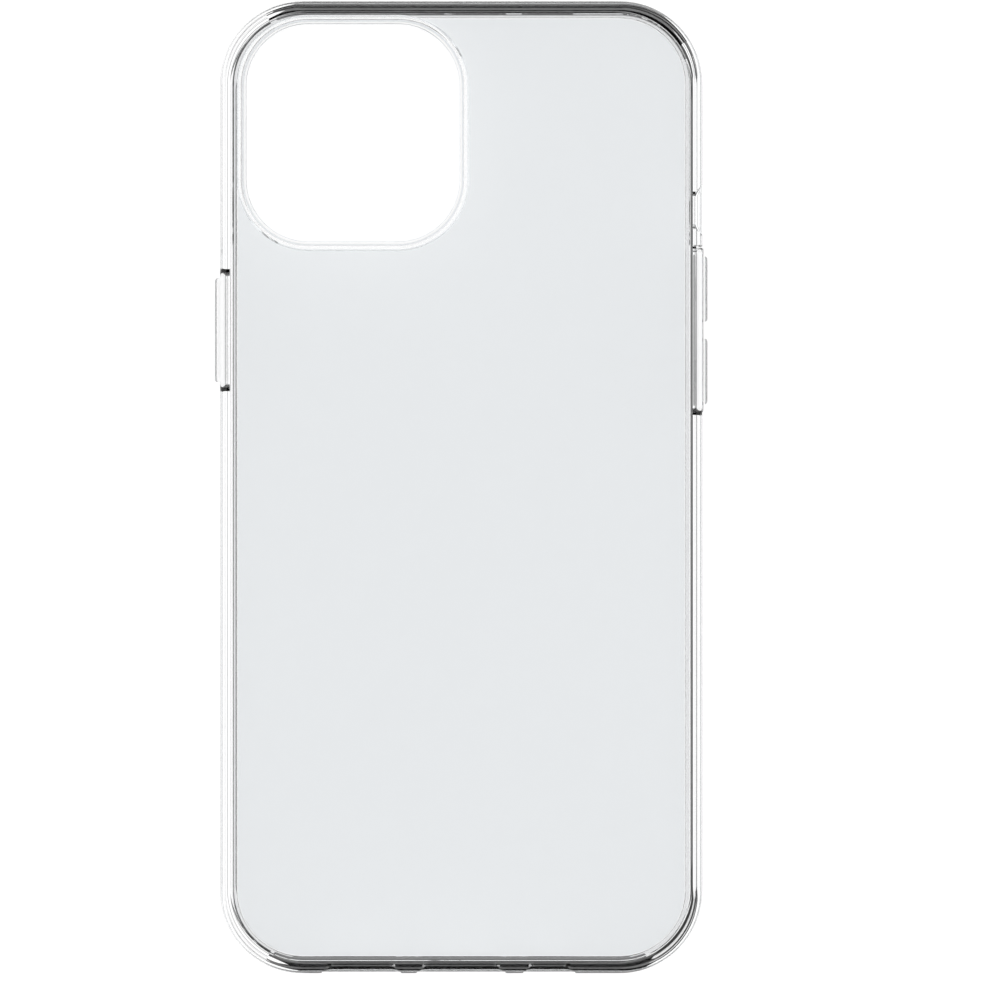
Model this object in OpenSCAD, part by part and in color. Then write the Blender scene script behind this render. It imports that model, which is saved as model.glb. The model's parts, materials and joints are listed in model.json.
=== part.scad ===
// Clear bumper case for a flat slab phone, lying on its front lip with the back panel up.
// Origin: centre of the footprint, on the plane of the front lip.
// +X towards the volume buttons, +Y towards the camera end, +Z out of the back.

/* [Phone pocket] */
// Width of the pocket that holds the phone
pocket_w = 71.8; // [68:0.1:76]
// Length of the pocket
pocket_l = 147.8; // [142:0.1:156]
// Depth of the pocket, from the lip to the back panel
pocket_d = 8.0; // [7.8:0.1:9]
// Corner radius of the pocket in plan
pocket_r = 12.0; // [11.4:0.1:13]

/* [Bumper] */
// Thickness of the side walls
wall_t = 1.5; // [1.3:0.1:2]
// Corner radius of the outline in plan
outline_r = 12.8; // [12:0.1:14]
// Radius along the back edge
back_edge_r = 1.1; // [0.8:0.1:1.3]
// Radius along the front edge
front_edge_r = 1.4; // [1:0.1:1.5]
// Height of the front lip above the screen
lip_h = 1.2; // [1:0.1:1.6]
// Overhang of the front lip over the screen
lip_overhang = 0.9; // [0.5:0.1:1.2]

/* [Back panel] */
// Thickness of the hard back panel
panel_t = 1.3; // [1.1:0.1:1.6]
// Distance from the outline to the seam around the panel
seam_inset = 2.65; // [2.4:0.05:3]
// Width of the hidden tongue around the panel
tongue_w = 0.75; // [0.5:0.05:0.9]
// Thickness of the hidden tongue
tongue_t = 0.6; // [0.5:0.1:0.8]
// Corner radius of the panel at the seam
panel_r = 10.2; // [9:0.1:11]

/* [Camera guard] */
// Width of the camera opening
camera_w = 33.0; // [28:0.1:36]
// Length of the camera opening
camera_l = 33.66; // [28:0.01:36]
// Corner radius of the camera opening
camera_r = 9.6; // [8:0.1:11]
// Distance from the outline to the opening, on the long side
camera_side = 4.13; // [4:0.01:8]
// Distance from the outline to the opening, at the top
camera_top = 3.63; // [3.5:0.01:8]
// Width of the raised ring around the opening
guard_w = 1.5; // [1.2:0.1:2]
// Height of the raised ring above the panel
guard_h = 2.1; // [1:0.1:2.4]
// Thickness of the skirt that lines the panel's hole
skirt_t = 0.4; // [0.3:0.05:0.5]

/* [Buttons] */
// Height of a button cap, across the thickness of the case
cap_h = 3.6; // [3:0.1:4]
// How far a cap stands out of the side wall
cap_proud = 0.85; // [0.5:0.05:1]
// Length of the power button cap
power_len = 16.1; // [12:0.1:18]
// Distance of the power button from the middle of the case, towards the camera end
power_y = 24.4; // [20:0.1:28]
// Length of each volume button cap
volume_len = 10.1; // [9:0.1:11]
// Distance of the volume-up button from the middle of the case
volume_up_y = 30.8; // [30:0.1:33]
// Distance of the volume-down button from the middle of the case
volume_down_y = 18.0; // [16:0.1:19]
// Extra length of the carrier's window beyond the caps, at each end
carrier_margin = 0.95; // [0.8:0.05:1.2]
// How far the volume carrier stands out of the side wall
strip_proud = 0.2; // [0.1:0.05:0.3]

/* [Side cut-outs] */
// Distance of the ring switch from the middle of the case
switch_y = 43.0; // [42:0.1:45]
// Length of the ring switch cut-out at the pocket
switch_len = 5.9; // [5:0.1:7]
// Distance of the speaker cut-out from the middle of the bottom wall
speaker_x = -15.5; // [-17:0.1:-15]
// Length of the speaker cut-out at the pocket
speaker_len = 10.7; // [9:0.1:11]
// Length of the charging port cut-out at the pocket
port_len = 12.2; // [11:0.1:13]
// Distance of the microphone cut-out from the middle of the bottom wall
mic_x = 13.65; // [13:0.05:15]
// Length of the microphone cut-out at the pocket
mic_len = 6.5; // [5:0.1:7]
// Extra length of a cut-out at the outer face, at each end
flare = 0.9; // [0.6:0.1:1]

/* [Hidden] */

curve_fn = 96;
small_fn = 32;
eps = 0.01;

// Outline and levels
case_w = pocket_w + 2 * wall_t;
case_l = pocket_l + 2 * wall_t;
back_inner_z = lip_h + pocket_d;
back_z = back_inner_z + panel_t;
mid_z = lip_h + pocket_d / 2;
rim_w = 4;

// Panel
panel_w = case_w - 2 * seam_inset;
panel_l = case_l - 2 * seam_inset;

// Camera opening
camera_x = -case_w / 2 + camera_side + camera_w / 2;
camera_y = case_l / 2 - camera_top - camera_l / 2;
guard_crest = 0.55;
guard_chamfer = 0.2;

// Button stack, as distances out from the pocket wall
nib_x = 0.35;
cap_flange_x = 0.55;
cap_flange_t = 0.3;
carrier_x = 0.9;
ledge_x = 1.2;
cap_r = 0.7;
cap_flange_margin = 0.6;
nib_len = 5;
nib_h = 2;
slide_gap = 0.1;
carrier_r = 1.3;
carrier_h = cap_h + 2 * carrier_margin - 0.1;
flange_margin = 0.6;

// Cut-outs, as levels above the front lip plane
cutout_lo_z = 2.2;
cutout_hi_z = back_inner_z - 0.3;
cutout_r = 1.0;
flare_depth = 1.05;
flare_drop = 0.6;
over_back_z = back_z + 3;

// Rounded rectangle centred on the origin
module rounded_rect(w, l, r, fn = curve_fn) {
    square([w - 2 * r, l], center = true);
    square([w, l - 2 * r], center = true);
    for (sx = [-1, 1], sy = [-1, 1])
        translate([sx * (w / 2 - r), sy * (l / 2 - r)])
            circle(r = r, $fn = fn);
}

// Plate with a rounded rectangular outline
module plate(w, l, r, z0, z1) {
    translate([0, 0, z0])
        linear_extrude(height = z1 - z0)
            rounded_rect(w, l, r);
}

// Sweeps a profile around a rounded rectangle; the profile's x is measured out from the path
module sweep(w, l, r) {
    for (i = [0:3])
        translate([(i == 0 || i == 3 ? 1 : -1) * (w / 2 - r), (i < 2 ? 1 : -1) * (l / 2 - r), 0])
            rotate([0, 0, 90 * i])
                rotate_extrude(angle = 90, $fn = curve_fn)
                    translate([r, 0])
                        children();
    for (turn = [0, 180])
        rotate([0, 0, turn]) {
            translate([w / 2, l / 2 - r, 0])
                rotate([90, 0, 0])
                    linear_extrude(height = l - 2 * r)
                        children();
            rotate([0, 0, 90])
                translate([l / 2, w / 2 - r, 0])
                    rotate([90, 0, 0])
                        linear_extrude(height = w - 2 * r)
                            children();
        }
}

// Puts its children on a side wall: x points out of the pocket wall, y along the wall, z up
module on_right_wall() {
    translate([pocket_w / 2, 0, 0])
        children();
}

module on_left_wall() {
    mirror([1, 0, 0])
        on_right_wall()
            children();
}

module on_bottom_wall() {
    translate([0, -pocket_l / 2, 0])
        rotate([0, 0, -90])
            children();
}

// Rounded block standing on a side wall, from x0 to x1
module wall_block(x0, x1, len, h, r) {
    translate([x0, 0, mid_z])
        rotate([90, 0, 90])
            linear_extrude(height = x1 - x0)
                rounded_rect(len, h, r, small_fn);
}

// Full section of the rim: rounded along the back edge and along the front edge
module rim_profile() {
    translate([-rim_w, 0])
        square([rim_w - front_edge_r, back_z]);
    translate([-rim_w, front_edge_r])
        square([rim_w - back_edge_r, back_z - front_edge_r]);
    translate([-rim_w, front_edge_r])
        square([rim_w, back_z - front_edge_r - back_edge_r]);
    translate([-front_edge_r, front_edge_r])
        circle(r = front_edge_r, $fn = 64);
    translate([-back_edge_r, back_z - back_edge_r])
        circle(r = back_edge_r, $fn = 64);
}

// Panel without its camera hole: the visible face and the tongue under the bumper's flange
module panel_blank() {
    plate(panel_w, panel_l, panel_r, back_inner_z, back_z);
    plate(panel_w + 2 * tongue_w, panel_l + 2 * tongue_w, panel_r + tongue_w,
          back_inner_z, back_inner_z + tongue_t);
}

// Thin slab across a cut-out, x out from the pocket wall
module cutout_slab(x, len, z0, r) {
    translate([x, 0, (z0 + over_back_z) / 2])
        rotate([90, 0, 90])
            linear_extrude(height = eps)
                rounded_rect(len, over_back_z - z0, r, small_fn);
}

// Opening through a side wall, flared outwards and open over the back edge
module cutout(len) {
    inner_h = cutout_hi_z - cutout_lo_z;
    flare_x = wall_t - flare_depth;
    translate([-1, 0, cutout_lo_z + inner_h / 2])
        rotate([90, 0, 90])
            linear_extrude(height = 1 + flare_x + 2 * eps)
                rounded_rect(len, inner_h, cutout_r, small_fn);
    hull() {
        cutout_slab(flare_x, len, cutout_lo_z, cutout_r);
        cutout_slab(wall_t, len + 2 * flare, cutout_lo_z - flare_drop, cutout_r + 0.4);
        cutout_slab(wall_t + 0.5, len + 2 * flare, cutout_lo_z - flare_drop, cutout_r + 0.4);
    }
}

// Stepped window that a button carrier seats in
module carrier_window(len) {
    wall_block(-1, ledge_x, len + 2 * flange_margin, carrier_h + 2 * flange_margin,
               carrier_r + flange_margin);
    wall_block(ledge_x - eps, wall_t + 1, len, carrier_h, carrier_r);
}

// Button cap: head, retaining flange and the nib that presses the phone's key
module cap(len, y) {
    translate([0, y, 0]) {
        wall_block(cap_flange_x + cap_flange_t, wall_t + cap_proud, len, cap_h, cap_r);
        wall_block(cap_flange_x, cap_flange_x + cap_flange_t,
                   len + 2 * cap_flange_margin, cap_h + 2 * cap_flange_margin,
                   cap_r + cap_flange_margin);
        wall_block(nib_x, cap_flange_x, nib_len, nib_h, nib_h / 2 - 0.2);
    }
}

// Slot in a carrier that a cap's head slides through
module cap_slot(len, y) {
    translate([0, y, 0])
        wall_block(0, wall_t + 1, len + 2 * slide_gap, cap_h + 2 * slide_gap, cap_r + slide_gap);
}

// Carrier: the part in the window and the flange behind the ledge
module carrier_blank(len, proud) {
    wall_block(carrier_x, ledge_x, len + 2 * flange_margin, carrier_h + 2 * flange_margin,
               carrier_r + flange_margin);
    wall_block(ledge_x, wall_t + proud, len, carrier_h, carrier_r);
}

power_window_len = power_len + 2 * carrier_margin;
volume_mid_y = (volume_up_y + volume_down_y) / 2;
volume_window_len = volume_up_y - volume_down_y + volume_len + 2 * carrier_margin + 0.6;

module bumper() {
    color([0.93, 0.95, 0.96, 0.45])
        difference() {
            sweep(case_w, case_l, outline_r)
                rim_profile();
            plate(pocket_w, pocket_l, pocket_r, lip_h, back_inner_z + eps);
            plate(pocket_w - 2 * lip_overhang, pocket_l - 2 * lip_overhang,
                  pocket_r - lip_overhang, -1, lip_h + eps);
            panel_blank();
            on_left_wall()
                translate([0, power_y, 0])
                    carrier_window(power_window_len);
            on_right_wall()
                translate([0, volume_mid_y, 0])
                    carrier_window(volume_window_len);
            on_right_wall()
                translate([0, switch_y, 0])
                    cutout(switch_len);
            for (hole = [[speaker_x, speaker_len], [0, port_len], [mic_x, mic_len]])
                on_bottom_wall()
                    translate([0, hole[0], 0])
                        cutout(hole[1]);
        }
}

module back_panel() {
    color([0.9, 0.92, 0.93, 0.4])
        difference() {
            panel_blank();
            translate([camera_x, camera_y, 0])
                plate(camera_w + 2 * skirt_t, camera_l + 2 * skirt_t, camera_r + skirt_t,
                      back_inner_z - 1, back_z + 1);
        }
}

module camera_guard() {
    color([0.88, 0.9, 0.92, 0.5])
        translate([camera_x, camera_y, 0])
            sweep(camera_w, camera_l, camera_r)
                polygon([
                    [0, back_inner_z],
                    [skirt_t, back_inner_z],
                    [skirt_t, back_z],
                    [guard_w, back_z],
                    [guard_w - 0.15, back_z + 0.35],
                    [guard_w - 0.55, back_z + guard_h - 0.35],
                    [guard_crest + 0.2, back_z + guard_h],
                    [guard_chamfer, back_z + guard_h],
                    [0, back_z + guard_h - guard_chamfer]
                ]);
}

module power_button_carrier() {
    color([0.85, 0.88, 0.9, 0.6])
        on_left_wall()
            difference() {
                translate([0, power_y, 0])
                    carrier_blank(power_window_len, 0);
                cap_slot(power_len, power_y);
            }
}

module volume_button_carrier() {
    color([0.85, 0.88, 0.9, 0.6])
        on_right_wall()
            difference() {
                translate([0, volume_mid_y, 0])
                    carrier_blank(volume_window_len, strip_proud);
                cap_slot(volume_len, volume_up_y);
                cap_slot(volume_len, volume_down_y);
            }
}

module power_button() {
    color([0.96, 0.97, 0.98, 0.7])
        on_left_wall()
            cap(power_len, power_y);
}

module volume_up_button() {
    color([0.96, 0.97, 0.98, 0.7])
        on_right_wall()
            cap(volume_len, volume_up_y);
}

module volume_down_button() {
    color([0.96, 0.97, 0.98, 0.7])
        on_right_wall()
            cap(volume_len, volume_down_y);
}

bumper();
back_panel();
camera_guard();
power_button_carrier();
volume_button_carrier();
power_button();
volume_up_button();
volume_down_button();
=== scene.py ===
"""Looks of a clear phone case: a soft frame, a hard back, a raised camera guard and button caps in soft carriers.

Every piece is made in millimetres and brought to metres at the end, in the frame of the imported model:
+X towards the volume buttons, +Y towards the camera end, +Z out of the back.
"""

import json
import math

import bmesh
import bpy
from bpy.props import FloatProperty, FloatVectorProperty, PointerProperty
from mathutils import Matrix, Vector


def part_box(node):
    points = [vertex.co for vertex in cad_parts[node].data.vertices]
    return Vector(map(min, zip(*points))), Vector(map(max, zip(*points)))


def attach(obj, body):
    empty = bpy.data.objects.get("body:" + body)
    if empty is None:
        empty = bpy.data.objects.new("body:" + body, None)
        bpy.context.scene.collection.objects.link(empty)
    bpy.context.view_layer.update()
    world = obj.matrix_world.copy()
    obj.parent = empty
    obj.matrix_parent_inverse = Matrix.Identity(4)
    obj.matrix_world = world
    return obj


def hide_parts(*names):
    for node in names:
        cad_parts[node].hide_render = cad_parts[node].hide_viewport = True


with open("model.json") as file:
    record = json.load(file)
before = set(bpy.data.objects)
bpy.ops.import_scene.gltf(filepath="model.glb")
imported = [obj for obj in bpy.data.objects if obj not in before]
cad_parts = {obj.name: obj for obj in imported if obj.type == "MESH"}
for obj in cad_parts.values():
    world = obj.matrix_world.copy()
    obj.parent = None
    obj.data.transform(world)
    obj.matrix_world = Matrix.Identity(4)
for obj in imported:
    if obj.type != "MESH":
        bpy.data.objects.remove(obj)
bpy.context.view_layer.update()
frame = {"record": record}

bl_info = {
    "name": "Clear Phone Case",
    "version": (1, 0, 0),
    "blender": (4, 5, 0),
    "location": "View3D > Sidebar > Phone Case",
    "description": "Builds a clear phone case around its packed model",
    "category": "Object",
}

MM = 0.001


def box_mm(node):
    """Lowest and highest corner of a CAD node, in millimetres."""
    low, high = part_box(node)
    return low / MM, high / MM


FRAME_LOW, FRAME_HIGH = box_mm("bumper")
PANEL_LOW, _ = box_mm("back_panel")
GUARD_LOW, GUARD_HIGH = box_mm("camera_guard")

CASE_W = FRAME_HIGH.x - FRAME_LOW.x
CASE_L = FRAME_HIGH.y - FRAME_LOW.y
BACK_Z = FRAME_HIGH.z
INNER_Z = PANEL_LOW.z
OUTLINE_R = 12.8


def length(name, description, default):
    """A length property, kept in metres and given here in millimetres."""
    return FloatProperty(name=name, description=description, default=default * MM, unit="LENGTH", precision=5)


class PhoneCaseSizes(bpy.types.PropertyGroup):
    """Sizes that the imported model's boxes don't give."""

    outline_r: length("Outline radius", "Corner radius of the outline in plan", OUTLINE_R)
    pocket_r: length("Pocket radius", "Corner radius of the phone pocket in plan", 12.0)
    wall: length("Wall", "Thickness of the side walls", 1.5)
    back_edge: length("Back edge", "Radius along the back edge", 1.1)
    front_edge: length("Front edge", "Radius along the front edge", 1.4)
    lip_height: length("Lip height", "Height of the front lip above the screen", 1.2)
    lip_overhang: length("Lip overhang", "Overhang of the front lip over the screen", 0.9)
    lip_round: length("Lip rounding", "Radius along the lip's inner edge", 0.35)
    seam_inset: length("Seam inset", "Distance from the outline to the panel's seam", 2.65)
    seam_r: length("Seam radius", "Corner radius of the panel at the seam", 10.2)
    seam_gap: length("Seam gap", "Air left between the panel and the frame", 0.02)
    seam_round: length("Seam rounding", "Radius along both edges of the seam", 0.1)
    tongue_width: length("Tongue width", "Width of the panel's hidden tongue", 0.75)
    tongue_height: length("Tongue height", "Thickness of the panel's hidden tongue", 0.6)


class PhoneCaseGuard(bpy.types.PropertyGroup):
    """Sizes of the raised ring round the camera opening."""

    opening_r: length("Opening radius", "Corner radius of the camera opening", 9.6)
    width: length("Ring width", "Width of the raised ring", 1.5)
    skirt: length("Skirt", "Thickness of the skirt that lines the panel's hole", 0.4)
    crest: length("Crest", "Width of the flat crest", 0.5)
    inner_round: length("Inner rounding", "Radius along the ring's inner edge", 0.16)


class PhoneCaseOpenings(bpy.types.PropertyGroup):
    """Sizes of the cut-outs in the side walls."""

    low: length("Low edge", "Level of the cut-outs' lower edge", 2.2)
    high_gap: length("High edge", "Distance from the panel down to the cut-outs' upper edge", 0.3)
    corner: length("Corner radius", "Corner radius of the cut-outs", 1.0)
    flare: length("Flare", "Extra length at the outer face, at each end", 0.9)
    flare_depth: length("Flare depth", "How deep the flare goes into the wall", 1.05)
    flare_drop: length("Flare drop", "How far the flare goes down at the outer face", 0.6)
    switch_y: length("Switch place", "Distance of the ring switch from the middle", 43.0)
    switch: length("Switch length", "Length of the ring switch cut-out", 5.9)
    speaker_x: length("Speaker place", "Distance of the speaker cut-out from the middle", -15.5)
    speaker: length("Speaker length", "Length of the speaker cut-out", 10.7)
    port: length("Port length", "Length of the charging port cut-out", 12.2)
    microphone_x: length("Microphone place", "Distance of the microphone cut-out from the middle", 13.65)
    microphone: length("Microphone length", "Length of the microphone cut-out", 6.5)


class PhoneCaseButtons(bpy.types.PropertyGroup):
    """Sizes of the button caps and of the soft carriers that they slide in."""

    ledge: length("Ledge", "Distance from the pocket wall to the window's ledge", 1.2)
    carrier_margin: length("Carrier margin", "Width of the carrier's flange beyond its window", 0.6)
    carrier_r: length("Carrier radius", "Corner radius of the carrier's window", 1.3)
    slot_gap: length("Slot gap", "Clearance round a cap in its slot", 0.1)
    cap_height: length("Cap height", "Height of a cap", 3.6)
    cap_margin: length("Cap margin", "Width of a cap's retaining flange", 0.6)
    cap_flange: length("Cap flange", "Thickness of a cap's retaining flange", 0.3)
    cap_r: length("Cap radius", "Corner radius of a cap's face", 0.7)
    cap_round: length("Cap rounding", "Radius along the edge of a cap's face", 0.42)
    nib_length: length("Nib length", "Length of the nib that presses the phone's key", 5.0)
    nib_height: length("Nib height", "Height of that nib", 2.0)
    nib_depth: length("Nib depth", "How far the nib stands behind the flange", 0.2)


class PhoneCaseFinish(bpy.types.PropertyGroup):
    """Colours and surface of the clear plastics."""

    frame_tint: FloatVectorProperty(
        name="Frame tint", description="Colour of the soft frame", subtype="COLOR", default=(0.99, 0.995, 1.0)
    )
    panel_tint: FloatVectorProperty(
        name="Panel tint", description="Colour on the hard panel's back face", subtype="COLOR",
        default=(0.8, 0.836, 0.861),
    )
    # Clearer than the tint, so that the panel's rounded edges read as a painted highlight along the seam; the tint
    # itself is the panel's own grey.
    panel_highlight_body: FloatVectorProperty(
        name="Panel body", description="Colour of the hard panel under its back face", subtype="COLOR",
        default=(0.99, 0.995, 1.0),
    )
    cap_tint: FloatVectorProperty(
        name="Cap tint", description="Colour of the button caps", subtype="COLOR", default=(0.98, 0.985, 0.99)
    )
    soft_ior: FloatProperty(name="Soft index", description="Refractive index of the soft plastic", default=1.5)
    hard_ior: FloatProperty(name="Hard index", description="Refractive index of the hard plastic", default=1.58)


class PhoneCaseStudio(bpy.types.PropertyGroup):
    """Camera and light."""

    view_width: length("View width", "Width of the scene that the camera takes in", 155.11)
    view_x: length("View centre X", "Middle of the view, across the case", 6.02)
    view_y: length("View centre Y", "Middle of the view, along the case", -1.985)
    distance: length("Distance", "Distance from the camera to the back of the case", 2400.0)
    sky: FloatProperty(name="Sky", description="Strength of the even light from all round", default=1.0)
    floor_glow: FloatProperty(name="Floor glow", description="Light given off by the floor itself", default=0.85)


SIZES = "phone_case_sizes"
GUARD = "phone_case_guard"
OPENINGS = "phone_case_openings"
BUTTONS = "phone_case_buttons"
FINISH = "phone_case_finish"
STUDIO = "phone_case_studio"
GROUPS = {
    SIZES: PhoneCaseSizes,
    GUARD: PhoneCaseGuard,
    OPENINGS: PhoneCaseOpenings,
    BUTTONS: PhoneCaseButtons,
    FINISH: PhoneCaseFinish,
    STUDIO: PhoneCaseStudio,
}


class Millimetres:
    """Reads a property group's lengths in millimetres."""

    def __init__(self, group):
        self.group = group

    def __getattr__(self, name):
        return getattr(self.group, name) / MM


def lengths(context, name):
    """The scene's property group of that name, read in millimetres."""
    return Millimetres(getattr(context.scene, name))


# Shapes ------------------------------------------------------------------------------------------

OUTLINE_STEPS = 24
SMALL_STEPS = 6
EDGE_STEPS = 10
FINE_STEPS = 3
SHARP_ANGLE = math.radians(28)

# Millimetres.
SUPPORT = 0.008
FLAT = 0.0001
RING_SPREAD = 50.0
MERGE = 0.0005
CUT_PAST = 1.0
CUT_OVERLAP = 0.02
GUARD_LIFT = 0.01
CARRIER_FLANGE = 0.3
CARRIER_ROUND = 0.12


def rounded_ring(bm, width, depth, radius, steps, place):
    """Adds the outline of a rounded rectangle, centred on place, and returns its edges."""
    before = set(bm.faces)
    corners = bmesh.ops.create_grid(bm, x_segments=1, y_segments=1, size=0.5)["verts"]
    bmesh.ops.scale(bm, vec=(width, depth, 1), verts=corners)
    bmesh.ops.bevel(
        bm,
        geom=corners,
        offset=radius,
        offset_type="OFFSET",
        segments=steps,
        profile=0.5,
        affect="VERTICES",
        clamp_overlap=False,
        material=-1,
    )
    face = next(f for f in bm.faces if f not in before)
    edges = list(face.edges)
    bmesh.ops.transform(bm, matrix=place, verts=list(face.verts))
    bmesh.ops.delete(bm, geom=[face], context="FACES_ONLY")
    return edges


def supported(stations, closed):
    """Adds an outline close to both ends of every flat or upright band, so that it is shaded flat."""
    found = []
    for near, far in zip(stations, [*stations[1:], stations[0]] if closed else stations[1:]):
        found.append(near)
        across, up = abs(far[0] - near[0]) / 2, abs(far[3] - near[3])
        span = math.hypot(across, up)
        if min(across, up) < FLAT and span > 4 * SUPPORT:
            for share in (SUPPORT / span, 1 - SUPPORT / span):
                found.append(tuple(a + (b - a) * share for a, b in zip(near, far)))
    return found if closed else [*found, stations[-1]]


def skin(bm, stations, steps, place=Matrix(), closed=False):
    """Joins rounded outlines, each (width, depth, radius, level), into one skin; returns the outlines' edges.

    The outlines are joined while they stand well apart, because flat bands join wrongly, and then go to their levels.
    """
    stations = supported(stations, closed)
    rings = [
        rounded_ring(bm, width, depth, radius, steps, Matrix.Translation((0, 0, i * RING_SPREAD)))
        for i, (width, depth, radius, _) in enumerate(stations)
    ]
    for near, far in zip(rings, rings[1:]):
        bmesh.ops.bridge_loops(bm, edges=near + far)
    if closed:
        bmesh.ops.bridge_loops(bm, edges=rings[-1] + rings[0])
    for i, (ring, station) in enumerate(zip(rings, stations)):
        verts = list({vert for edge in ring for vert in edge.verts})
        bmesh.ops.translate(bm, vec=(0, 0, station[3] - i * RING_SPREAD), verts=verts)
        bmesh.ops.transform(bm, matrix=place, verts=verts)
    return rings


def cover(bm, rings, normal):
    """Fills the flat area inside the first outline and outside the others."""
    edges = [edge for ring in rings for edge in ring]
    bmesh.ops.triangle_fill(bm, edges=edges, use_beauty=True, use_dissolve=False, normal=normal)


def quarter(centre, radius, start, steps):
    """Points of a quarter circle, anticlockwise from the angle start, in degrees."""
    angles = [math.radians(start + 90 * i / steps) for i in range(steps + 1)]
    return [(centre[0] + radius * math.cos(a), centre[1] + radius * math.sin(a)) for a in angles]


def on_wall(side, along, level):
    """Frame of a side wall: x along the wall, y up and z out of the pocket wall."""
    if side == "right":
        axes = Matrix(((0, 0, 1), (1, 0, 0), (0, 1, 0)))
        spot = Vector((CASE_W / 2, along, level))
    elif side == "left":
        axes = Matrix(((0, 0, -1), (-1, 0, 0), (0, 1, 0)))
        spot = Vector((-CASE_W / 2, along, level))
    else:
        axes = Matrix(((1, 0, 0), (0, 0, -1), (0, 1, 0)))
        spot = Vector((along, -CASE_L / 2, level))
    return Matrix.Translation(spot) @ axes.to_4x4()


def closed_mesh(bm):
    """Merges doubles and turns every face outwards."""
    bmesh.ops.remove_doubles(bm, verts=bm.verts, dist=MERGE)
    bmesh.ops.recalc_face_normals(bm, faces=bm.faces)


def loose_object(bm, name):
    """An object that holds a bmesh, not yet one of the case's pieces."""
    mesh = bpy.data.meshes.new(name)
    bm.to_mesh(mesh)
    bm.free()
    obj = bpy.data.objects.new(name, mesh)
    bpy.context.scene.collection.objects.link(obj)
    return obj


def cut_away(bm, cutters):
    """Cuts each cutter, a closed bmesh, out of bm with the exact solver, and returns the result."""
    body = loose_object(bm, "uncut")
    tools = [loose_object(cutter, f"cutter_{i}") for i, cutter in enumerate(cutters)]
    for tool in tools:
        cut = body.modifiers.new(tool.name, "BOOLEAN")
        cut.operation = "DIFFERENCE"
        cut.solver = "EXACT"
        cut.object = tool
    bpy.context.view_layer.update()
    result = bmesh.new()
    result.from_object(body, bpy.context.evaluated_depsgraph_get())
    for obj in [body, *tools]:
        bpy.data.meshes.remove(obj.data)
    return result


def add_piece(bm, name, body, replaced, material):
    """Turns a closed bmesh in millimetres into a finished piece of the case."""
    closed_mesh(bm)
    bmesh.ops.scale(bm, vec=(MM, MM, MM), verts=bm.verts)
    obj = loose_object(bm, name)
    mesh = obj.data
    mesh.shade_smooth()
    mesh.set_sharp_from_angle(angle=SHARP_ANGLE)
    mesh.materials.append(material)
    weighted = obj.modifiers.new("Weighted normals", "WEIGHTED_NORMAL")
    weighted.keep_sharp = True
    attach(obj, body)
    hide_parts(replaced)
    return obj


# Materials ---------------------------------------------------------------------------------------


# The ripple's height is in metres, the two depths below the back where the tint fades in, leaving a painted highlight
# on the clearer edges, are in millimetres.
TONE_SPREAD = 1.012
POLISH_FINENESS = 40
ROUGHNESS_SPREAD = 0.4
RIPPLE_HEIGHT = 0.0001
BACK_TINT_DEPTH = 0.004
BACK_TINT_FULL = 0.001


def clear_plastic(name, tint, ior, roughness, ripple, pattern=60.0, highlight_body=None):
    """Clear moulded plastic: faintly uneven tint, polish marks in the roughness and a slow ripple of the surface.

    With highlight_body, the colour of the rest of the piece, the tint lies only on the flat back, and the clearer
    rounded edges read as a painted highlight.
    """
    material = bpy.data.materials.new(name)
    material.use_nodes = True
    nodes, links = material.node_tree.nodes, material.node_tree.links
    shader = nodes["Principled BSDF"]
    shader.inputs["Transmission Weight"].default_value = 1.0
    shader.inputs["IOR"].default_value = ior

    place = nodes.new("ShaderNodeTexCoord")
    cloud = nodes.new("ShaderNodeTexNoise")
    cloud.inputs["Scale"].default_value = pattern
    cloud.inputs["Detail"].default_value = 2.0
    links.new(place.outputs["Object"], cloud.inputs["Vector"])

    tone = nodes.new("ShaderNodeMix")
    tone.data_type = "RGBA"
    tone.inputs["A"].default_value = (*tint, 1.0)
    tone.inputs["B"].default_value = (*(min(1.0, c * TONE_SPREAD) for c in tint), 1.0)
    links.new(cloud.outputs["Fac"], tone.inputs["Factor"])
    colour = tone.outputs["Result"]
    # Painted highlight: the tint fades out just below the flat back, so the rounded edges, in the clearer body colour,
    # read bright.
    if highlight_body:
        height = nodes.new("ShaderNodeSeparateXYZ")
        links.new(place.outputs["Object"], height.inputs["Vector"])
        flat = nodes.new("ShaderNodeMapRange")
        flat.inputs["From Min"].default_value = (BACK_Z - BACK_TINT_DEPTH) * MM
        flat.inputs["From Max"].default_value = (BACK_Z - BACK_TINT_FULL) * MM
        links.new(height.outputs["Z"], flat.inputs["Value"])
        back_tint_mix = nodes.new("ShaderNodeMix")
        back_tint_mix.data_type = "RGBA"
        back_tint_mix.inputs["A"].default_value = (*highlight_body, 1.0)
        links.new(flat.outputs["Result"], back_tint_mix.inputs["Factor"])
        links.new(colour, back_tint_mix.inputs["B"])
        colour = back_tint_mix.outputs["Result"]
    links.new(colour, shader.inputs["Base Color"])

    polish = nodes.new("ShaderNodeTexNoise")
    polish.inputs["Scale"].default_value = pattern * POLISH_FINENESS
    polish.inputs["Detail"].default_value = 3.0
    links.new(place.outputs["Object"], polish.inputs["Vector"])
    shine = nodes.new("ShaderNodeMapRange")
    shine.inputs["To Min"].default_value = roughness * (1 - ROUGHNESS_SPREAD)
    shine.inputs["To Max"].default_value = roughness * (1 + ROUGHNESS_SPREAD)
    links.new(polish.outputs["Fac"], shine.inputs["Value"])
    links.new(shine.outputs["Result"], shader.inputs["Roughness"])

    bump = nodes.new("ShaderNodeBump")
    bump.inputs["Strength"].default_value = ripple
    bump.inputs["Distance"].default_value = RIPPLE_HEIGHT
    links.new(cloud.outputs["Fac"], bump.inputs["Height"])
    links.new(bump.outputs["Normal"], shader.inputs["Normal"])
    return material


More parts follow.
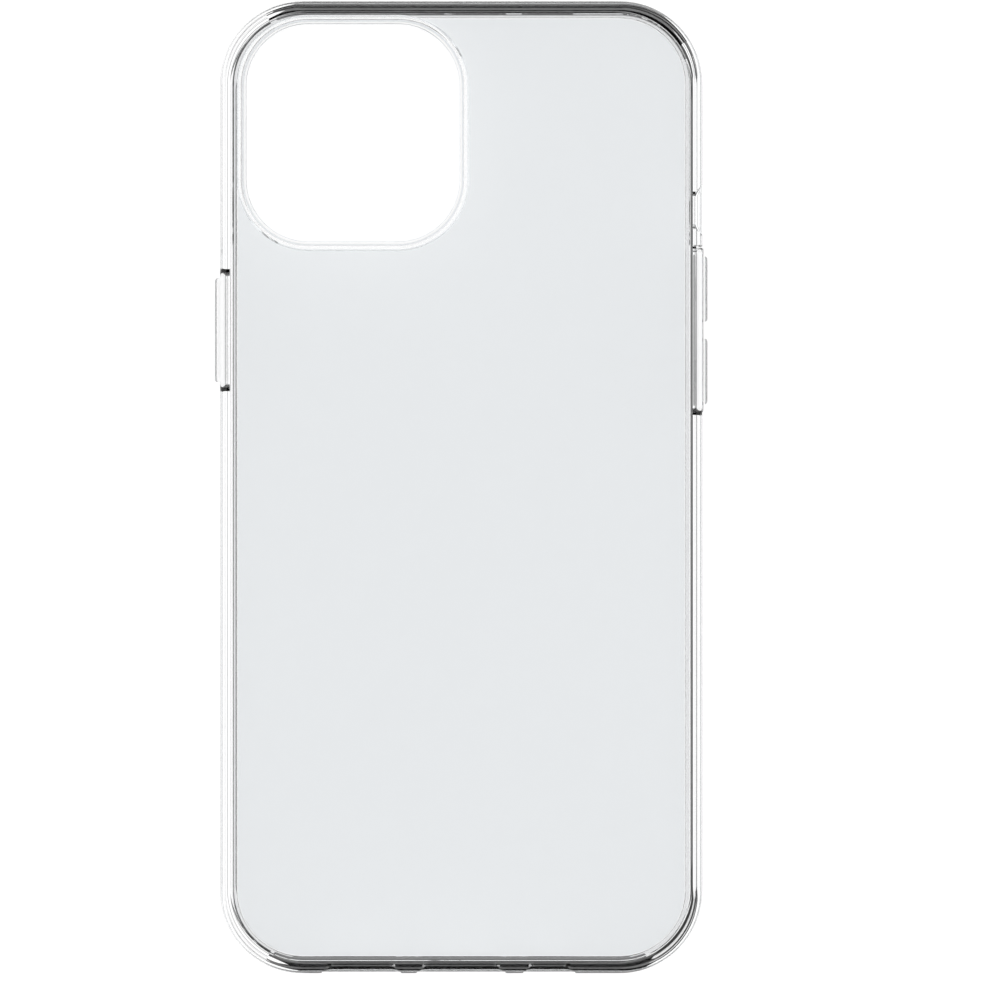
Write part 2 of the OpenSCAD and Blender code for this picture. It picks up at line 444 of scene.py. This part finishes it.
def plain_material(name, colour, roughness):
    """A plain surface for the stage."""
    material = bpy.data.materials.new(name)
    material.use_nodes = True
    shader = material.node_tree.nodes["Principled BSDF"]
    shader.inputs["Base Color"].default_value = (*colour, 1.0)
    shader.inputs["Roughness"].default_value = roughness
    shader.inputs["Specular IOR Level"].default_value = 0.0
    return material


# Pieces ------------------------------------------------------------------------------------------


def frame_stations(s):
    """Outlines round the frame's section, from the foot of the outer face, each (width, depth, radius, level)."""

    def at(inset, radius, level):
        return CASE_W - 2 * inset, CASE_L - 2 * inset, radius, level

    outer = [at(0, s.outline_r, s.front_edge)]
    back = quarter((s.back_edge, BACK_Z - s.back_edge), s.back_edge, 90, EDGE_STEPS)
    outer += [at(x, s.outline_r - x, z) for x, z in reversed(back)]
    seam = quarter((s.seam_inset - s.seam_round, BACK_Z - s.seam_round), s.seam_round, 0, FINE_STEPS)
    outer += [at(x, s.seam_r + s.seam_inset - x, z) for x, z in reversed(seam)]

    tongue_inset = s.seam_inset - s.tongue_width
    tongue_top = INNER_Z + s.tongue_height
    inner = [
        at(s.seam_inset, s.seam_r, tongue_top),
        at(tongue_inset, s.seam_r + s.tongue_width, tongue_top),
        at(tongue_inset, s.seam_r + s.tongue_width, INNER_Z),
        at(s.wall, s.pocket_r, INNER_Z),
        at(s.wall, s.pocket_r, s.lip_height),
    ]

    lip_inset = s.wall + s.lip_overhang
    r = s.lip_round
    upper = quarter((lip_inset - r, s.lip_height - r), r, 0, SMALL_STEPS)
    lower = quarter((lip_inset - r, r), r, 270, SMALL_STEPS)
    lip = [at(x, s.pocket_r + s.wall - x, z) for x, z in reversed(upper)]
    lip += [at(x, s.pocket_r + s.wall - x, z) for x, z in reversed(lower)]
    front = quarter((s.front_edge, s.front_edge), s.front_edge, 180, EDGE_STEPS)
    foot = [at(x, s.outline_r - x, z) for x, z in reversed(front)]
    return outer + inner + lip + foot[:-1]


def block(side, along, level, parts, steps=SMALL_STEPS):
    """A closed bmesh standing on a side wall, from its parts, each (length, height, radius, distance out)."""
    bm = bmesh.new()
    rings = skin(bm, parts, steps, on_wall(side, along, level))
    for ring in (rings[0], rings[-1]):
        bmesh.ops.contextual_create(bm, geom=ring)
    closed_mesh(bm)
    return bm


def opening_cutters(o, s, side, along, span):
    """The two cutters of one cut-out: a straight hole through the wall and a flare that breaks the back edge."""
    high = INNER_Z - o.high_gap
    hole = (span, high - o.low, o.corner)
    depths = (-s.wall - CUT_PAST, CUT_OVERLAP - o.flare_depth)
    straight = block(side, along, (o.low + high) / 2, [(*hole, z) for z in depths])

    top = BACK_Z + 3
    low = o.low - o.flare_drop
    middle = (o.low + top) / 2
    inner = (span, top - o.low, o.corner)
    outer = (span + 2 * o.flare, top - low + (o.low - low), o.corner + 0.4)
    flared = block(side, along, middle, [(*inner, -o.flare_depth), (*outer, 0.0), (*outer, 0.5)])
    return [straight, flared]


def caps(context):
    """Each button cap: its node, wall side, place along the wall and length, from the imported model."""
    found = []
    margin = 2 * lengths(context, BUTTONS).cap_margin
    for node, side in (("power_button", "left"), ("volume_up_button", "right"), ("volume_down_button", "right")):
        low, high = box_mm(node)
        found.append((node, side, (low.y + high.y) / 2, high.y - low.y - margin))
    return found


def carriers(context):
    """Each button carrier: its node, wall side, place, length, height and how far it stands out of the wall."""
    found = []
    margin = 2 * lengths(context, BUTTONS).carrier_margin
    for node, side in (("power_button_carrier", "left"), ("volume_button_carrier", "right")):
        low, high = box_mm(node)
        reach = max(abs(low.x), abs(high.x)) - CASE_W / 2
        found.append((node, side, (low.y + high.y) / 2, high.y - low.y - margin, high.z - low.z - margin, reach))
    return found


def button_level():
    """Level of the buttons' middle."""
    low, high = box_mm("power_button")
    return (low.z + high.z) / 2


class PHONECASE_OT_bumper(bpy.types.Operator):
    """Make the soft frame with its lip, cut-outs and button windows"""

    bl_idname = "phone_case.bumper"
    bl_label = "Soft Frame"

    def execute(self, context):
        s, o, b = (lengths(context, name) for name in (SIZES, OPENINGS, BUTTONS))
        bm = bmesh.new()
        skin(bm, frame_stations(s), OUTLINE_STEPS, closed=True)
        closed_mesh(bm)

        cutters = opening_cutters(o, s, "right", o.switch_y, o.switch)
        bottom = ((o.speaker_x, o.speaker), (0, o.port), (o.microphone_x, o.microphone))
        for along, span in bottom:
            cutters += opening_cutters(o, s, "bottom", along, span)
        for _, side, along, span, height, _ in carriers(context):
            g = s.seam_gap
            wide = (span + 2 * b.carrier_margin + g, height + 2 * b.carrier_margin + g, b.carrier_r + b.carrier_margin)
            narrow = (span + g, height + g, b.carrier_r)
            ledge = b.ledge - s.wall
            steps = [(*wide, -s.wall - CUT_PAST), (*wide, ledge), (*narrow, ledge), (*narrow, CUT_PAST)]
            cutters.append(block(side, along, button_level(), steps))
        bm = cut_away(bm, cutters)

        f = context.scene.phone_case_finish
        material = clear_plastic("clear_soft_plastic", f.frame_tint, f.soft_ior, 0.01, 0.05)
        add_piece(bm, "soft_frame", "case", "bumper", material)
        return {"FINISHED"}


class PHONECASE_OT_back_panel(bpy.types.Operator):
    """Make the hard back panel with its camera hole and hidden tongue"""

    bl_idname = "phone_case.back_panel"
    bl_label = "Back Panel"

    def execute(self, context):
        s, g = lengths(context, SIZES), lengths(context, GUARD)
        gap, r = s.seam_gap, s.seam_round
        step_z = INNER_Z + s.tongue_height - gap
        width, depth = CASE_W - 2 * s.seam_inset - 2 * gap, CASE_L - 2 * s.seam_inset - 2 * gap
        wide, long = width + 2 * s.tongue_width, depth + 2 * s.tongue_width
        edge = quarter((r, BACK_Z - r), r, 90, FINE_STEPS)
        stations = [(width - 2 * x, depth - 2 * x, s.seam_r - x, z) for x, z in edge]
        stations += [
            (width, depth, s.seam_r, step_z),
            (wide, long, s.seam_r + s.tongue_width, step_z),
            (wide, long, s.seam_r + s.tongue_width, INNER_Z + r),
            (wide - 2 * r, long - 2 * r, s.seam_r + s.tongue_width - r, INNER_Z),
        ]
        bm = bmesh.new()
        outside = skin(bm, stations, OUTLINE_STEPS)

        hole_w = GUARD_HIGH.x - GUARD_LOW.x - 2 * g.width + 2 * g.skirt + 2 * gap
        hole_l = GUARD_HIGH.y - GUARD_LOW.y - 2 * g.width + 2 * g.skirt + 2 * gap
        hole_r = g.opening_r + g.skirt + gap
        middle = (GUARD_LOW + GUARD_HIGH) / 2
        place = Matrix.Translation((middle.x, middle.y, 0))
        hole = skin(bm, [(hole_w, hole_l, hole_r, z) for z in (BACK_Z, INNER_Z)], OUTLINE_STEPS, place)
        cover(bm, [outside[0], hole[0]], (0, 0, 1))
        cover(bm, [outside[-1], hole[-1]], (0, 0, -1))

        f = context.scene.phone_case_finish
        material = clear_plastic("clear_hard_plastic", f.panel_tint, f.hard_ior, 0.01, 0.02, 25.0, f.panel_highlight_body)
        add_piece(bm, "hard_back", "case", "back_panel", material)
        return {"FINISHED"}


class PHONECASE_OT_camera_guard(bpy.types.Operator):
    """Make the raised ring round the camera opening"""

    bl_idname = "phone_case.camera_guard"
    bl_label = "Camera Guard"

    def execute(self, context):
        g = lengths(context, GUARD)
        width = GUARD_HIGH.x - GUARD_LOW.x - 2 * g.width
        depth = GUARD_HIGH.y - GUARD_LOW.y - 2 * g.width
        top = GUARD_HIGH.z
        inner = quarter((g.inner_round, top - g.inner_round), g.inner_round, 90, 4)
        slope_w, slope_h = g.width - g.inner_round - g.crest, top - BACK_Z
        foot = BACK_Z + GUARD_LIFT
        slope = []
        for i in range(EDGE_STEPS + 1):
            t = i / EDGE_STEPS
            slope.append((g.width - slope_w * t, foot + (slope_h - GUARD_LIFT) * math.sin(t * math.pi / 2)))
        section = [(0, INNER_Z), (g.skirt, INNER_Z), (g.skirt, foot), *slope, *inner]
        middle = (GUARD_LOW + GUARD_HIGH) / 2
        bm = bmesh.new()
        stations = [(width + 2 * x, depth + 2 * x, g.opening_r + x, z) for x, z in section]
        skin(bm, stations, OUTLINE_STEPS, Matrix.Translation((middle.x, middle.y, 0)), closed=True)

        f = context.scene.phone_case_finish
        material = clear_plastic("clear_guard_plastic", f.frame_tint, f.soft_ior, 0.04, 0.05)
        add_piece(bm, "camera_ring", "case", "camera_guard", material)
        return {"FINISHED"}


class PHONECASE_OT_button_carriers(bpy.types.Operator):
    """Make the soft carriers that the button caps slide in"""

    bl_idname = "phone_case.button_carriers"
    bl_label = "Button Carriers"

    def execute(self, context):
        s, b = lengths(context, SIZES), lengths(context, BUTTONS)
        f = context.scene.phone_case_finish
        material = clear_plastic("clear_carrier_plastic", f.frame_tint, f.soft_ior, 0.12, 0.1)
        for node, side, along, span, height, reach in carriers(context):
            back = b.ledge - s.wall - CARRIER_FLANGE
            ledge = b.ledge - s.wall
            r = CARRIER_ROUND
            flange = (span + 2 * b.carrier_margin, height + 2 * b.carrier_margin, b.carrier_r + b.carrier_margin)
            rim = quarter((r, reach - r), r, 90, FINE_STEPS)
            face = [(span - 2 * x, height - 2 * x, b.carrier_r - x, z) for x, z in rim]
            parts = [(*flange, back), (*flange, ledge), (span, height, b.carrier_r, ledge), *reversed(face)]
            bm = bmesh.new()
            place = on_wall(side, along, button_level())
            outside = skin(bm, parts, SMALL_STEPS, place)
            fronts, backs = [outside[-1]], [outside[0]]
            for _, cap_side, cap_along, cap_span in caps(context):
                if cap_side != side:
                    continue
                slot = (cap_span + 2 * b.slot_gap, b.cap_height + 2 * b.slot_gap, b.cap_r + b.slot_gap)
                slot_place = on_wall(side, cap_along, button_level())
                rings = skin(bm, [(*slot, back), (*slot, reach)], SMALL_STEPS, slot_place)
                fronts.append(rings[-1])
                backs.append(rings[0])
            out = place.to_3x3() @ Vector((0, 0, 1))
            cover(bm, fronts, out)
            cover(bm, backs, -out)
            add_piece(bm, node.replace("_carrier", "_seat"), "case", node, material)
        return {"FINISHED"}


class PHONECASE_OT_button_caps(bpy.types.Operator):
    """Make the three hard button caps"""

    bl_idname = "phone_case.button_caps"
    bl_label = "Button Caps"

    def execute(self, context):
        s, b = lengths(context, SIZES), lengths(context, BUTTONS)
        f = context.scene.phone_case_finish
        material = clear_plastic("clear_cap_plastic", f.cap_tint, f.hard_ior, 0.02, 0.03)
        bodies = frame["record"]["behaviour"]["bodies"]
        for node, side, along, span in caps(context):
            low, high = box_mm(node)
            reach = max(abs(low.x), abs(high.x)) - CASE_W / 2
            back = min(abs(low.x), abs(high.x)) - CASE_W / 2
            r = b.cap_round
            nib = (b.nib_length, b.nib_height, b.nib_height / 2 - 0.2)
            flange = (span + 2 * b.cap_margin, b.cap_height + 2 * b.cap_margin, b.cap_r + b.cap_margin)
            base = back + b.nib_depth
            edge = quarter((r, reach - r), r, 90, SMALL_STEPS)
            parts = [(*nib, back), (*nib, base), (*flange, base), (*flange, base + b.cap_flange)]
            parts += [(span, b.cap_height, b.cap_r, base + b.cap_flange)]
            parts += [(span - 2 * x, b.cap_height - 2 * x, b.cap_r - x, z) for x, z in reversed(edge)]
            bm = block(side, along, button_level(), parts)
            body = next(name for name, members in bodies.items() if node in members)
            add_piece(bm, node.replace("_button", "_cap"), body, node, material)
        return {"FINISHED"}


def corner(side, end, inset, angle):
    """The point at an inset from the outline, at an angle round a corner from its end wall."""
    turn = math.radians(angle)
    reach = OUTLINE_R - inset
    x = side * (CASE_W / 2 - OUTLINE_R + reach * math.sin(turn))
    y = end * (CASE_L / 2 - OUTLINE_R + reach * math.cos(turn))
    return x, y


def ending(side, end, inset, angle, away_x, away_y):
    """A cut through a corner point, taking away what lies towards (away_x, away_y), x out of the side, y of the end."""
    return corner(side, end, inset, angle), (side * away_x, end * away_y)


LEFT_SIDE, RIGHT_SIDE, FAR_END, NEAR_END = -1, 1, 1, -1
ONLY_LEFT = ((0.0, 0.0), (1.0, 0.0))
ONLY_RIGHT = ((0.0, 0.0), (-1.0, 0.0))
CORNER_REACH = 11.4
CORNER_RUN = 25.4
BY_RIGHT_WALL = ((CASE_W / 2 - CORNER_REACH, 0.0), (-1.0, 0.0))

# Where the cards end round the corners: inset in millimetres, angle in degrees and the direction taken away.
FAR = (ending(LEFT_SIDE, FAR_END, 1.5, 23.0, 0.8, -1.0), ending(RIGHT_SIDE, FAR_END, 2.1, 68.7, 0.6, -1.0))
FAR_TIPS = (
    ending(LEFT_SIDE, FAR_END, 1.2, 27.7, 0.45, 0.89),
    ending(LEFT_SIDE, FAR_END, 1.2, 27.7, 0.89, -0.46),
    ending(RIGHT_SIDE, FAR_END, 0.05, 29.6, 0.79, 0.61),
    ending(RIGHT_SIDE, FAR_END, 0.76, 56.2, 0.8, -0.6),
)
NEAR = (ending(LEFT_SIDE, NEAR_END, 0.9, 27.0, 0.8, -1.0), ending(RIGHT_SIDE, NEAR_END, 0.95, 24.4, 0.8, -1.0))
NEAR_TIPS = (
    ending(LEFT_SIDE, NEAR_END, 1.2, 27.7, 0.41, 0.91),
    ending(LEFT_SIDE, NEAR_END, 1.2, 27.7, 0.89, -0.46),
    ending(RIGHT_SIDE, NEAR_END, 0.5, 20.9, 0.77, 0.63),
    ending(RIGHT_SIDE, NEAR_END, 1.7, 57.9, 0.7, -0.7),
)
LEFT = (
    ONLY_LEFT,
    ending(LEFT_SIDE, FAR_END, 1.2, 27.7, -0.89, 0.46),
    ending(LEFT_SIDE, NEAR_END, 1.2, 27.7, -0.89, 0.46),
)
RIGHT = (
    ONLY_RIGHT,
    ending(RIGHT_SIDE, FAR_END, 0.05, 15.5, -0.96, 0.27),
    ending(RIGHT_SIDE, NEAR_END, 0.5, 20.9, -0.93, 0.36),
)
FAR_CORNER = (
    BY_RIGHT_WALL,
    ((0.0, CASE_L / 2 - CORNER_RUN), (0.0, -1.0)),
    ending(RIGHT_SIDE, FAR_END, 0.75, 73.6, 1.0, -0.056),
)
NEAR_CORNER = (
    BY_RIGHT_WALL,
    ((0.0, CORNER_RUN - CASE_L / 2), (0.0, 1.0)),
    ending(RIGHT_SIDE, NEAR_END, 0.65, 73.7, 1.0, -0.056),
)
SEAT_LOW, SEAT_HIGH = box_mm("volume_button_carrier")
SEAT_END = 0.5
VOLUME_SEAT = (
    ONLY_RIGHT,
    ((0.0, SEAT_LOW.y + SEAT_END), (0.0, -1.0)),
    ((0.0, SEAT_HIGH.y - SEAT_END), (0.0, 1.0)),
)

# Glowing cards under the rim, seen only in the plastic, that paint light and shade into it: painted shade for the dark
# lines and dark surroundings, painted light for the bright walls. The upper ones first: name, outer and inner inset in
# millimetres, brightness and the cuts that end them, each a point and the direction that is taken away.
PAINTED_LIGHT_CARDS = (
    # painted shade: dark and grey bands that draw the lines seen in the rim, its corners and the volume seat
    ("right_seat", 0.55, 1.3, 0.4, VOLUME_SEAT),
    ("far_black", 1.12, 1.55, 0.0, FAR_TIPS),
    ("far_dim", 1.55, 1.8, 0.12, FAR),
    ("far_pale", 1.8, 1.95, 0.4, FAR),
    ("far_grey", 0.0, 1.12, 0.18, FAR_TIPS),
    ("near_black", 0.0, 1.25, 0.0, NEAR_TIPS),
    ("near_dim", 1.25, 1.7, 0.12, NEAR_TIPS),
    ("near_grey", 1.7, 1.95, 0.2, NEAR),
    ("near_pale", 1.95, 2.12, 0.3, NEAR),
    ("far_corner", 1.25, 1.6, 0.1, FAR_CORNER),
    ("near_corner", 1.15, 1.6, 0.05, NEAR_CORNER),
    ("left_rim", 1.0, 1.09, 0.45, LEFT),
    ("left_fine", 1.42, 1.51, 0.35, LEFT),
    ("left_line", 1.74, 1.97, 0.1, LEFT),
    ("right_rim", 1.0, 1.09, 0.45, RIGHT),
    ("right_line", 1.36, 1.72, 0.2, RIGHT),
    # painted light: a band brighter than the floor under the walls, so that they read white
    ("light", 0.0, 1.8, 1.15, ()),
    # painted shade: black bands outside the outline, dark surroundings seen in the edges
    ("far_outside", -2.0, 0.0, 0.0, FAR),
    ("near_outside", -4.0, 0.0, 0.0, NEAR),
    ("left_outside", -4.0, -1.0, 0.0, LEFT),
    ("right_outside", -4.0, -1.0, 0.0, RIGHT),
)


# Levels in millimetres, and the floor's half width in metres.
CARD_TOP = -0.015
CARD_STEP = 0.001
FLOOR_LEVEL = -0.04
FLOOR_HALF = 3.0
FLOOR_GREY = 0.3
FLOOR_ROUGHNESS = 0.9
WHITE = (1.0, 1.0, 1.0, 1.0)
BLACK = (0.0, 0.0, 0.0)

# The dark ends and top of the surroundings: where each starts and is full, and how much it takes away.
DARK_ENDS = (0.55, 0.75)
DARK_BELOW = (0.75, 0.55)
DARK_TOP = (0.93, 0.98)
DARKNESS = 0.97


def case_outline(context):
    """Width, depth and corner radius of the case's outline, in millimetres."""
    return CASE_W, CASE_L, lengths(context, SIZES).outline_r


def painted_light_card(name, outline, outer, inner, shade, cuts, level):
    """A flat glowing band on the floor between two insets of the outline, seen only through the plastic: painted shade
    or painted light.
    """
    width, depth, radius = outline
    bm = bmesh.new()
    stations = [(width - 2 * x, depth - 2 * x, radius - x, level) for x in (outer, inner)]
    skin(bm, stations, OUTLINE_STEPS)
    for point, away in cuts:
        geom = [*bm.verts, *bm.edges, *bm.faces]
        bmesh.ops.bisect_plane(bm, geom=geom, plane_co=(*point, 0), plane_no=(*away, 0), clear_outer=True)
    bmesh.ops.scale(bm, vec=(MM, MM, MM), verts=bm.verts)
    strip = loose_object(bm, name)
    material = plain_material(name, BLACK, 1.0)
    shader = material.node_tree.nodes["Principled BSDF"]
    shader.inputs["Emission Color"].default_value = WHITE
    shader.inputs["Emission Strength"].default_value = shade
    strip.data.materials.append(material)
    # Hidden from the camera, from diffuse light and from shadows, so the band only paints light or shade into the
    # plastic.
    for kind in ("camera", "diffuse", "shadow", "volume_scatter"):
        setattr(strip, f"visible_{kind}", False)
    return strip


class PHONECASE_OT_studio(bpy.types.Operator):
    """Set the floor, the cards of painted shade and light, the light and the camera"""

    bl_idname = "phone_case.studio"
    bl_label = "Studio"

    def execute(self, context):
        st = context.scene.phone_case_studio
        scene = context.scene
        bm = bmesh.new()
        bmesh.ops.create_grid(bm, x_segments=1, y_segments=1, size=FLOOR_HALF)
        floor = loose_object(bm, "floor")
        glow = plain_material("pale_floor", (FLOOR_GREY,) * 3, FLOOR_ROUGHNESS)
        shader = glow.node_tree.nodes["Principled BSDF"]
        shader.inputs["Emission Color"].default_value = WHITE
        shader.inputs["Emission Strength"].default_value = st.floor_glow
        floor.data.materials.append(glow)

        outline = case_outline(context)
        # Painted shade and painted light under the rim, seen only through the plastic.
        for i, (name, outer, inner, shade, cuts) in enumerate(PAINTED_LIGHT_CARDS):
            painted_light_card(name, outline, outer, inner, shade, cuts, CARD_TOP - CARD_STEP * i)
        floor.data.transform(Matrix.Translation((0, 0, FLOOR_LEVEL * MM)))

        world = bpy.data.worlds.new("soft_light")
        world.use_nodes = True
        nodes, links = world.node_tree.nodes, world.node_tree.links
        background = nodes["Background"]
        place = nodes.new("ShaderNodeTexCoord")
        axes = nodes.new("ShaderNodeSeparateXYZ")
        links.new(place.outputs["Generated"], axes.inputs["Vector"])

        def step(source, start, end):
            ramp = nodes.new("ShaderNodeMapRange")
            ramp.interpolation_type = "SMOOTHSTEP"
            ramp.inputs["From Min"].default_value = start
            ramp.inputs["From Max"].default_value = end
            links.new(source, ramp.inputs["Value"])
            return ramp.outputs["Result"]

        def math_node(operation, *values):
            node = nodes.new("ShaderNodeMath")
            node.operation = operation
            for socket, value in zip(node.inputs, values):
                if isinstance(value, float):
                    socket.default_value = value
                else:
                    links.new(value, socket)
            return node.outputs["Value"]

        ends = step(math_node("ABSOLUTE", axes.outputs["Y"]), *DARK_ENDS)
        low = step(axes.outputs["Z"], *DARK_BELOW)
        path = nodes.new("ShaderNodeLightPath")
        seen = math_node("SUBTRACT", 1.0, path.outputs["Is Camera Ray"])
        seen = math_node("MULTIPLY", seen, math_node("SUBTRACT", 1.0, path.outputs["Is Diffuse Ray"]))
        top = step(axes.outputs["Z"], *DARK_TOP)
        dark = math_node("MULTIPLY", math_node("MAXIMUM", math_node("MULTIPLY", ends, low), top), seen)
        links.new(
            math_node("MULTIPLY", math_node("SUBTRACT", 1.0, math_node("MULTIPLY", dark, DARKNESS)), st.sky),
            background.inputs["Strength"],
        )
        background.inputs["Color"].default_value = WHITE
        scene.world = world
        scene.view_settings.view_transform = "Standard"

        data = bpy.data.cameras.new("camera")
        data.sensor_width = 36.0
        data.lens = data.sensor_width * st.distance / st.view_width
        data.clip_end = 100.0
        camera = bpy.data.objects.new("camera", data)
        camera.location = (st.view_x, st.view_y, BACK_Z * MM + st.distance)
        scene.collection.objects.link(camera)
        scene.camera = camera
        return {"FINISHED"}


OPERATORS = (
    PHONECASE_OT_studio,
    PHONECASE_OT_bumper,
    PHONECASE_OT_back_panel,
    PHONECASE_OT_camera_guard,
    PHONECASE_OT_button_carriers,
    PHONECASE_OT_button_caps,
)


class PHONECASE_PT_build(bpy.types.Panel):
    """Lists the pieces of the case"""

    bl_label = "Phone Case"
    bl_idname = "PHONECASE_PT_build"
    bl_space_type = "VIEW_3D"
    bl_region_type = "UI"
    bl_category = "Phone Case"

    def draw(self, context):
        for group in GROUPS:
            box = self.layout.box()
            settings = getattr(context.scene, group)
            for name in settings.__annotations__:
                box.prop(settings, name)
        for operator in OPERATORS:
            self.layout.operator(operator.bl_idname)


CLASSES = (*GROUPS.values(), *OPERATORS, PHONECASE_PT_build)


def register():
    for cls in CLASSES:
        bpy.utils.register_class(cls)
    for name, group in GROUPS.items():
        setattr(bpy.types.Scene, name, PointerProperty(type=group))


def unregister():
    for name in GROUPS:
        delattr(bpy.types.Scene, name)
    for cls in reversed(CLASSES):
        bpy.utils.unregister_class(cls)


def main():
    """Builds the whole case and its studio."""
    register()
    for operator in OPERATORS:
        namespace, name = operator.bl_idname.split(".")
        getattr(getattr(bpy.ops, namespace), name)()


if __name__ == "__main__":
    main()
